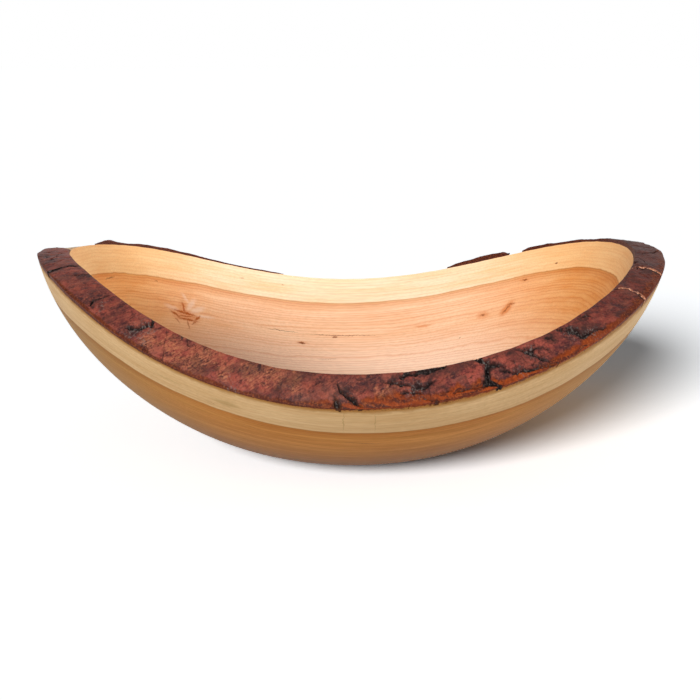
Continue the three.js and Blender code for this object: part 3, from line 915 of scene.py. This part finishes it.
def bark_relief(x, y):
    """Height over the plain plate in mm, and the material's masks, at places along and round the log."""
    opening, depth, halo = fissure_depths(x, y)
    hair = hair_cracks(x, y)
    lumps = roughness(x, y, (0.22, 9, 31), (0.14, 3.7, 32))
    scales = 0.3 * ramp(roughness(x, y, (1, 15, 33), (0.5, 5, 34)), 0.1, 0.2)
    grain = roughness(x, y, (0.11, 1.5, 35), (0.08, 0.8, 36), (0.4 * opening, 1.0, 37))
    height = lumps + scales + grain - depth - HAIR_DEPTH * hair - RELIEF_DROP
    masks = {
        # the cracks, which the bark's material paints almost black: painted shade
        "fissure_and_shade": np.maximum(opening, 0.7 * hair),
        "halo": halo,
        "grey": spots(x, y, GREY_PLACES, 41),
        "rubbed": spots(x, y, RUBBED_PLACES, 42),
    }
    return height, masks


# %% The plain plate, as in the CAD part


def smooth_value(values, share):
    """Values at even steps of a share from 0 to 1, joined by 3 t^2 - 2 t^3."""
    values = np.asarray(values, float)
    place = np.clip(share, 0, 1) * (len(values) - 1)
    low = np.minimum(place.astype(int), len(values) - 2)
    return values[low] + (values[low + 1] - values[low]) * ramp(place - low, 0, 1)


def plate_thickness(thickness, along, across, x, y):
    """The plate's own thickness, plus a slow roll, less a soft edge that grows with (2 across - 1)^6."""
    wave = 2 * np.pi / BARK_WAVE_LENGTH
    roll = BARK_WAVE * np.sin(wave * x) * np.cos(wave * (y + x / 2))
    edge = (2 * across - 1) ** 6
    full = BARK_THICKEST * smooth_value(thickness, along)
    return full + (roll - SOFT_EDGE * edge) * np.minimum(1, full / (4 * SOFT_EDGE))


# %% How the ends of a plate wander
BARK_STEP = 0.5  # mm between the points of a plate
BARK_WIDTH = 22.0  # mm across the rim, about
CRACK_RAGGED = (0.6, 0.3)  # mm by which a coarse and a fine noise move an end at a crack
EDGE_RAGGED = (2.2, 0.9)  # and at a broken edge


def is_crack(number):
    """Whether a stretch starts at a crack between two plates, rather than at a broken edge."""
    return number % len(STRETCHES) in CRACK_GAPS


def end_line(number, across):
    """How far round an end lies from its straight line, in mm: small on a crack, ragged on a broken edge."""
    place = across * BARK_WIDTH
    shared = number % len(STRETCHES)
    coarse, small = CRACK_RAGGED if is_crack(number) else EDGE_RAGGED
    line = roughness(place, place * 0, (coarse, 4.5, 51 + shared), (small, 1.6, 61 + shared))
    if shared in CRACK_WANDER:
        line = line + np.interp(across, *CRACK_WANDER[shared])
    return line


def end_gap(number):
    """Half of the opening of the crack at that end, or nothing at a broken edge."""
    return CRACK_GAPS.get(number % len(STRETCHES), 0) / 2


# %% A plate's grid
SIDE_COLUMNS = 8
UNDER_STEPS = 4
SUNK = 0.05  # the bark's underside reaches this far into the wood, so that no light comes through
THINNEST = 0.4  # mm, with the seam
EDGE_CALM = 0.25  # the turner's tool left the two edges smooth: this share of the relief is left on them
CALM_WIDTH = 0.09  # share of the width over which the full relief comes in
CLOSER = 1.25  # the points across lie closer than those along, by so much
WORN_LENGTH = 5.0  # mm over which a plate thins out towards a broken edge
WORN_SHARE = 0.45  # of its thickness is left at that edge


def plate_surface(thickness, along, across, ends, relief):
    """The layer that the plate's top follows: the seam, the plain plate and the relief over the wood."""
    def top(x, y):
        plain = plate_thickness(thickness, along, across, x, y) * ends
        return log_layer(-np.maximum(SEAM + plain + relief, THINNEST))(x, y)
    return top


def plate_edge(skin, angle, along, across, thickness, ends):
    """The outer or inner top edge: a first crossing without relief, then one with the relief found there."""
    plain_s = crossing(skin, angle, plate_surface(thickness, along, across, ends, 0.0))
    place = log_place(skin(plain_s, angle))
    relief = EDGE_CALM * bark_relief(place[..., 0], place[..., 1])[0]
    return crossing(skin, angle, plate_surface(thickness, along, across, ends, relief))


def plate_grid(number, thickness):
    """The points of one plate: rows along it, columns up the outside, across, down the inside and back."""
    length = (starts[number + 1] - starts[number]) * HALF_LENGTH
    along = np.linspace(0, 1, int(length / BARK_STEP))
    width = float(np.hypot(*(outside(1, starts[number]) - inside(1, starts[number]))[:2]))
    across = np.linspace(0, 1, int(CLOSER * width / BARK_STEP))
    near = end_line(number, across) + end_gap(number)
    far = end_line(number + 1, across) - end_gap(number + 1)
    turned = along[:, None] + (near * (1 - along[:, None]) + far * along[:, None]) / length
    slant = np.array(slants[number:number + 2]) / HALF_LENGTH
    outer_ends = starts[number:number + 2]
    inner_ends = outer_ends + slant
    outer_angle = outer_ends[0] + (outer_ends[1] - outer_ends[0]) * turned
    inner_angle = inner_ends[0] + (inner_ends[1] - inner_ends[0]) * turned
    from_near = along * length + (FAR_AWAY if is_crack(number) else 0)
    from_far = (1 - along) * length + (FAR_AWAY if is_crack(number + 1) else 0)
    ends = WORN_SHARE + (1 - WORN_SHARE) * ramp(np.minimum(from_near, from_far), 0, WORN_LENGTH)
    outer_s = plate_edge(outside, outer_angle[:, 0], along, 0.0, thickness, ends)
    inner_s = plate_edge(inside, inner_angle[:, -1], along, 1.0, thickness, ends)
    outer_low = crossing(outside, outer_angle[:, 0], log_layer(SUNK))
    inner_low = crossing(inside, inner_angle[:, -1], log_layer(SUNK))
    outer_side = side_strip(outside, outer_low, outer_s, outer_angle[:, 0], SIDE_COLUMNS)
    inner_side = side_strip(inside, inner_s, inner_low, inner_angle[:, -1], SIDE_COLUMNS)
    outer_edge = outside(np.broadcast_to(outer_s[:, None], outer_angle.shape), outer_angle)
    inner_edge = inside(np.broadcast_to(inner_s[:, None], inner_angle.shape), inner_angle)
    top = outer_edge + (inner_edge - outer_edge) * across[:, None]
    calm = EDGE_CALM + (1 - EDGE_CALM) * ramp(np.minimum(across, 1 - across), 0, CALM_WIDTH)
    x, y = top[..., 0], top[..., 1]
    top[..., 2] = plate_surface(thickness, along[:, None], across, ends[:, None], 0.0)(x, y)
    place = log_place(top)
    relief, masks = bark_relief(place[..., 0], place[..., 1])
    top[..., 2] = plate_surface(thickness, along[:, None], across, ends[:, None], relief * calm)(x, y)
    under = layer_strip(inner_side[:, -1], outer_side[:, 0], log_layer(SUNK), UNDER_STEPS)
    grid = np.concatenate([outer_side, top[:, 1:-1], inner_side, under[:, 1:-1]], 1)
    return grid, masks, across


# %% [markdown]
# ## Sealed bark
#
# Cherry bark is a thin dark skin with a purplish bloom over redder layers. The turner's tool cut it flush
# with the wall, so its cut side shows those layers, bright orange and dark red at the front. Finish soaked
# into it and left a dull gloss on the high places. The fissures are painted almost black, painted shade in
# the cracks, with grey dust in them; a strip beside some cracks is painted shadow, and the skin beside the
# fissures is darker. A photograph of bark could be wrapped round the rim. Noises of several sizes, mixed by
# the masks that the relief made, fit each scale and fissure and have no seam.

# %% Bark: places, masks and noises
BARK_NOISES = {  # lumps in mm along, round and through the log, degrees turned on its surface, detail
    "clouds": ((19, 8, 19), 15, 4.0), "patches": ((15, 11, 15), 20, 3.0), "stripes": ((22, 22, 0.6), 0, 3.0),
    "mottle": ((3.6, 2.6, 3.6), 20, 3.0), "fibre": ((3.4, 0.6, 2), 25, 3.0), "speck": ((1, 1, 1), 0, 2.0),
    "crumbs": ((1.1, 1.1, 1.1), 0, 2.0),
}
bark, tree = new_material("sealed_cherry_bark")
place = node(tree, "Attribute", {"attribute_name": "log_place"}, "Vector")
fissure_and_shade, halo, grey, rubbed, cut, glow, gold, lip, warmth, right_end_shade = (
    node(tree, "Attribute", {"attribute_name": name}, "Fac")
    for name in ("fissure_and_shade", "halo", "grey", "rubbed", "cut", "glow", "gold", "lip", "warmth", "right_end_shade")
)
noises = {}
for name, (sizes, turned, detail) in BARK_NOISES.items():
    spot = node(tree, "Mapping", LENS, Vector=place, Rotation=(0, 0, math.radians(turned)), Scale=sizes)
    noises[name] = node(tree, "TexNoise", Vector=spot, Scale=1.0, Detail=detail, Roughness=0.62)

# %% [markdown]
# ### Layers of colour
#
# The skin is built as a painter would: a ground of two browns, redder where the bark is warm, then one
# glaze after another, each laid on where a noise and a mask are high. The list gives for each glaze its
# noise, the levels between which it comes in, its mask, its strength and its colour.

# %% Bark: the glazes
GLAZES = (
    ("patches", 0.44, 0.3, None, 0.55, 0x2C191C), ("patches", 0.56, 0.72, None, 0.4, 0x8F4B42),
    ("mottle", 0.48, 0.68, None, 0.55, 0x8A4635), ("mottle", 0.5, 0.32, None, 0.75, 0x2C1618),
    ("fibre", 0.5, 0.7, None, 0.35, 0x94543E), ("fibre", 0.48, 0.28, None, 0.5, 0x2A1716),
    ("speck", 0.54, 0.76, None, 0.4, 0xA0604A), ("speck", 0.48, 0.28, None, 0.55, 0x251413),
    ("clouds", 0.54, 0.66, None, 0.25, 0x9C5E4C),
    ("mottle", 0.62, 0.42, halo, 0.62, 0x241513), ("speck", 0.6, 0.4, halo, 0.4, 0x33201F),
    ("speck", 0.44, 0.66, rubbed, 0.5, 0xA66448), ("mottle", 0.4, 0.65, rubbed, 0.35, 0x9C5A42),
    ("fibre", 0.45, 0.65, rubbed, 0.4, 0xB4754E), ("clouds", 0.5, 0.38, None, 0.5, 0x36231F),
    # painted shade that darkens the bark at the right end of the rim
    ("patches", 0.2, 0.45, right_end_shade, 0.85, 0x2E120A),
    ("stripes", 0.15, 0.4, cut, 0.95, 0x42180C), ("speck", 0.5, 0.66, cut, 0.5, 0x7C4626),
    ("speck", 0.48, 0.34, cut, 0.6, 0x1F100B), ("stripes", 0.36, 0.56, glow, 0.9, 0x86370F),
    ("mottle", 0.52, 0.68, glow, 0.75, 0x4A190C), ("speck", 0.5, 0.7, glow, 0.3, 0xB2561E),
    ("stripes", 0.1, 0.3, gold, 0.9, 0xB07A3C), ("speck", 0.5, 0.4, gold, 0.5, 0x5C3A14),
    ("mottle", 0.42, 0.58, lip, 0.85, 0xB67656), ("speck", 0.52, 0.62, lip, 0.65, 0xDCA488),
    # painted shade: the cracks, and a strip beside some of them, almost black
    ("speck", -0.2, 0.0, fissure_and_shade, 1.0, 0x150E0D), ("crumbs", 0.48, 0.66, fissure_and_shade, 0.8, 0x443B38),
    ("crumbs", 0.64, 0.76, fissure_and_shade, 0.5, 0x7A726C), ("crumbs", 0.5, 0.68, grey, 0.5, 0x766C66),
)

# %% Bark: the ground, and the glazes over it
patch_level = node(tree, "MapRange", Value=noises["patches"], From_Min=0.38, From_Max=0.62)
dark_ground, red_ground = (
    node(tree, "Mix", COLOURS, i0=patch_level, i6=linear(low), i7=linear(high))
    for low, high in ((0x402423, 0x7C3E32), (0x4C2425, 0x904136))
)
skin = node(tree, "Mix", COLOURS, i0=warmth, i6=dark_ground, i7=red_ground)
for name, low, high, mask, strength, colour in GLAZES:
    share = node(tree, "MapRange", SMOOTH, Value=noises[name], From_Min=low, From_Max=high, To_Max=strength)
    if mask:
        share = node(tree, "Math", MULTIPLY, i0=share, i1=mask)
    skin = node(tree, "Mix", COLOURS, i0=share, i6=skin, i7=linear(colour))

# %% Bark: surface
rough_height = node(tree, "Math", ADD, i0=noises["mottle"], i1=noises["speck"])
bark_bump = node(tree, "Bump", Height=rough_height, Strength=0.6, Distance=0.5 * MM)
dullness = node(tree, "MapRange", Value=fissure_and_shade, From_Min=0.1, From_Max=0.5, To_Min=0.52, To_Max=0.9)
surface = node(
    tree, "BsdfPrincipled", Base_Color=skin, Roughness=dullness, IOR=1.45, Specular_IOR_Level=0.12,
    Normal=bark_bump,
)
node(tree, "OutputMaterial", Surface=surface)
print("bark nodes:", len(tree.nodes))

# %% [markdown]
# ## The bark plates
#
# Each plate fills its own grid, and its two ends are closed by one flat face each. The masks that the
# relief made travel with the corners. More masks come from the place round the rim: how wide the cut edge
# shows on top, how it glows, where painted shade darkens the bark at the right end, and what lies beside a
# crack, pale crumbs on one lip and painted shadow on the other.

# %% Masks that change round the rim, given at degrees and read off between them
TABLES_START = 70  # degrees: a place before this one is read a whole turn further on
CUT_WIDTH = (  # in hundredths of the rim's width
    (170, 195, 230, 258, 268, 276, 292, 302, 318, 328, 350, 370, 400),
    (5, 7, 8, 9, 20, 34, 32, 20, 19, 26, 24, 12, 6),
)
CUT_GLOW = ((170, 235, 258, 268, 296, 312, 324, 350, 400), (0.1, 0.22, 0.3, 0.85, 1.0, 0.8, 0.3, 0.12, 0.05))
WARMTH = (
    (170, 215, 235, 252, 262, 285, 320, 340, 400), (0.4, 0.4, 0.8, 0.7, 0.2, 0.8, 1.0, 0.6, 0.2),
)
# painted shade at the right end of the rim, degrees and strength
RIGHT_END_SHADE = ((310, 328, 345, 380, 430), (0.0, 0.4, 0.8, 0.85, 0.5))
PALE_LIPS = (0, 9)  # these cracks have pale crumbs on the side where a plate starts
LIP_REACH = 1.5  # mm
# painted shadow beside a crack reaches so far
SHADOW_REACH = 1.2  # mm
GOLD_LAYER = (  # mm of inner bark next to the wood that show golden on the outside
    (170, 200, 235, 262, 272, 330, 350, 400), (1.2, 0.9, 0.7, 0.9, 2.4, 2.6, 1.6, 1.2),
)


def round_rim(table, degrees):
    """The table's value at every angle, in straight lines from one of its places to the next."""
    return np.interp(degrees, *table)


def plate_facts(number, grid, masks, across):
    """Masks for each point of the grid: the relief's on top, their edge values on the sides, and more."""
    rows, columns = grid.shape[:2]
    top = slice(SIDE_COLUMNS, SIDE_COLUMNS + len(across))
    facts = {}
    for name, values in masks.items():
        whole = np.zeros((rows, columns))
        whole[:, top] = values
        whole[:, :top.start] = values[:, :1]
        whole[:, top.stop:] = values[:, -1:]
        facts[name] = whole
    x, y = grid[..., 0], grid[..., 1]
    degrees = np.degrees(np.arctan2(y, x)) % 360
    degrees = np.where(degrees < TABLES_START, degrees + 360, degrees)
    ragged = 1 + roughness(x, y, (0.45, 6, 71), (0.3, 1.8, 72))
    bevel = round_rim(CUT_WIDTH, degrees[:, top]) / 100 * ragged[:, top]
    cut = np.ones((rows, columns))
    cut[:, top] = 1 - ramp(across[None, :], bevel * 0.55, bevel)
    length = (starts[number + 1] - starts[number]) * HALF_LENGTH
    from_near = np.linspace(0, length, rows)[:, None] + (0 if is_crack(number) else FAR_AWAY)
    from_far = np.linspace(length, 0, rows)[:, None] + (0 if is_crack(number + 1) else FAR_AWAY)
    pale = number in PALE_LIPS
    dark_gap = np.minimum(from_far, from_near + (FAR_AWAY if pale else 0)) / ragged
    beside = 1 - ramp(dark_gap, SHADOW_REACH * 0.3, SHADOW_REACH)
    lip = (1 - ramp(from_near / ragged, LIP_REACH * 0.5, LIP_REACH)) * pale
    # the painted shadow beside a crack joins the cracks' mask, which is painted almost black
    facts["fissure_and_shade"] = np.maximum(facts["fissure_and_shade"] * (1 - 0.35 * cut), beside)
    facts["lip"] = np.broadcast_to(lip, (rows, columns))
    facts["cut"] = cut
    facts["glow"] = cut * round_rim(CUT_GLOW, degrees)
    golden = round_rim(GOLD_LAYER, degrees) * (1 + roughness(x, y, (0.3, 4, 73), (0.3, 1.2, 74)))
    gold = (1 - ramp(-log_place(grid)[..., 2], golden * 0.5, golden)) * (1 - facts["fissure_and_shade"])
    gold[:, top.stop - len(across) // 2:] = 0
    facts["gold"] = gold
    facts["warmth"] = round_rim(WARMTH, degrees)
    # painted shade at the right end, less on the cut side
    facts["right_end_shade"] = round_rim(RIGHT_END_SHADE, degrees) * (1 - 0.7 * cut)
    return {name: values.reshape(-1) for name, values in facts.items()}


# %% Make the plates
cad_limits = np.array(cad_box) / MM - np.array([*LATHE_AXIS, 0])  # the relief stays inside the CAD part's box
for number, (name, _, _, thickness) in enumerate(STRETCHES):
    if name is None:
        continue
    grid, masks, across = plate_grid(number, thickness)
    rows, columns = grid.shape[:2]
    points = np.clip(grid.reshape(-1, 3), *cad_limits)
    facts = plate_facts(number, grid, masks, across)
    facts["log_place"] = log_place(points)
    quads = grid_faces(rows, columns, False, True)
    first_end = np.arange(columns)[None, ::-1]
    last_end = (rows - 1) * columns + np.arange(columns)[None, :]
    inner_top = SIDE_COLUMNS + len(across) - 1
    add_piece(
        name, points, [quads, first_end, last_end], facts,
        [0, SIDE_COLUMNS, inner_top, inner_top + SIDE_COLUMNS], columns, bark,
    )

# %% [markdown]
# ## The floor
#
# The bowl stands on a white sweep that the lamps alone leave grey. More light would wash the bowl out, and
# a floor that really shone white would light the bowl from below, far more than a table does. The Light
# Path node tells the two apart: the camera sees a floor whose colour makes up for the low light and still
# keeps the bowl's shadow, and the bowl sees a plain pale one. A hair of blue balances the warm light that
# the wood throws on the floor.

# %% Floor
FLOOR_SIZE = 12  # m
FLOOR_GAIN = 1.82  # 1 over the level of the light that falls on the floor, so that the lit floor is white
FLOOR_TINT = (1.0, 1.02, 1.04)
FLOOR_SEEN_BY_BOWL = 0.45


def seen(tree):
    """1 on a ray that the camera sends out, also by way of a mirror or through glass, and 0 on any other."""
    rays = node(tree, "LightPath").node.outputs
    seen_first = node(tree, "Math", MAXIMUM, i0=rays["Is Camera Ray"], i1=rays["Is Glossy Ray"])
    return node(tree, "Math", MAXIMUM, i0=seen_first, i1=rays["Is Transmission Ray"])


bpy.ops.mesh.primitive_plane_add(size=FLOOR_SIZE)
ground = bpy.context.object
ground.name = "floor"
white, tree = new_material("white_sweep")
pale = node(tree, "BsdfDiffuse", Color=(*[FLOOR_SEEN_BY_BOWL] * 3, 1))
bright = node(tree, "BsdfDiffuse", Color=(*[FLOOR_GAIN * share for share in FLOOR_TINT], 1))
node(tree, "OutputMaterial", Surface=node(tree, "MixShader", i0=seen(tree), i1=pale, i2=bright))
ground.data.materials.append(white)

# %% [markdown]
# ## The light
#
# Soft daylight falls from a window in front and a little to the left, low enough to reach under the wall.
# Its height, side and softness come from the shadow: how far it runs back, which way it leans and how soft
# its edge is. A white card on the right and one in front fill the dark sides. In a studio a flag keeps a
# card's light off the table, so that the table shows one shadow. Light linking does that here. We use suns,
# because then a level can be said as the share of white that it gives to the floor. The window's level and
# the sky's add up to 1 over the floor's gain.

# %% Lamps


def add_sun(name, azimuth, elevation, level, softness):
    """A sun that adds level to a white floor's colour, so its energy is pi level / sin elevation."""
    sun = bpy.data.lights.new(name, "SUN")
    sun.energy = level * math.pi / math.sin(math.radians(elevation))
    sun.angle = math.radians(softness)
    lamp = bpy.data.objects.new(name, sun)
    lamp.rotation_euler = way_to(azimuth, elevation).to_track_quat("Z", "Y").to_euler()
    bpy.context.scene.collection.objects.link(lamp)
    return lamp


add_sun("window_front", azimuth=-22, elevation=24, level=0.46, softness=18)
cards = [
    add_sun("card_right", azimuth=84, elevation=12, level=0.125, softness=24),
    add_sun("card_front", azimuth=20, elevation=11, level=0.03, softness=24),
]
flagged = bpy.data.collections.new("flagged")
flagged.objects.link(ground)
flagged.collection_objects[0].light_linking.link_state = "EXCLUDE"
for card in cards:
    card.light_linking.receiver_collection = flagged

# %% Sky
SKY_LEVEL = 0.09
world = bpy.data.worlds.new("studio")
bpy.context.scene.world = world
world.use_nodes = True
tree = world.node_tree
tree.nodes.clear()
sky, backdrop = (
    node(tree, "Background", Color=(1, 1, 1, 1), Strength=strength) for strength in (SKY_LEVEL, 1.0)
)
node(tree, "OutputWorld", Surface=node(tree, "MixShader", i0=seen(tree), i1=sky, i2=backdrop))
bpy.context.scene.view_settings.view_transform = "Standard"
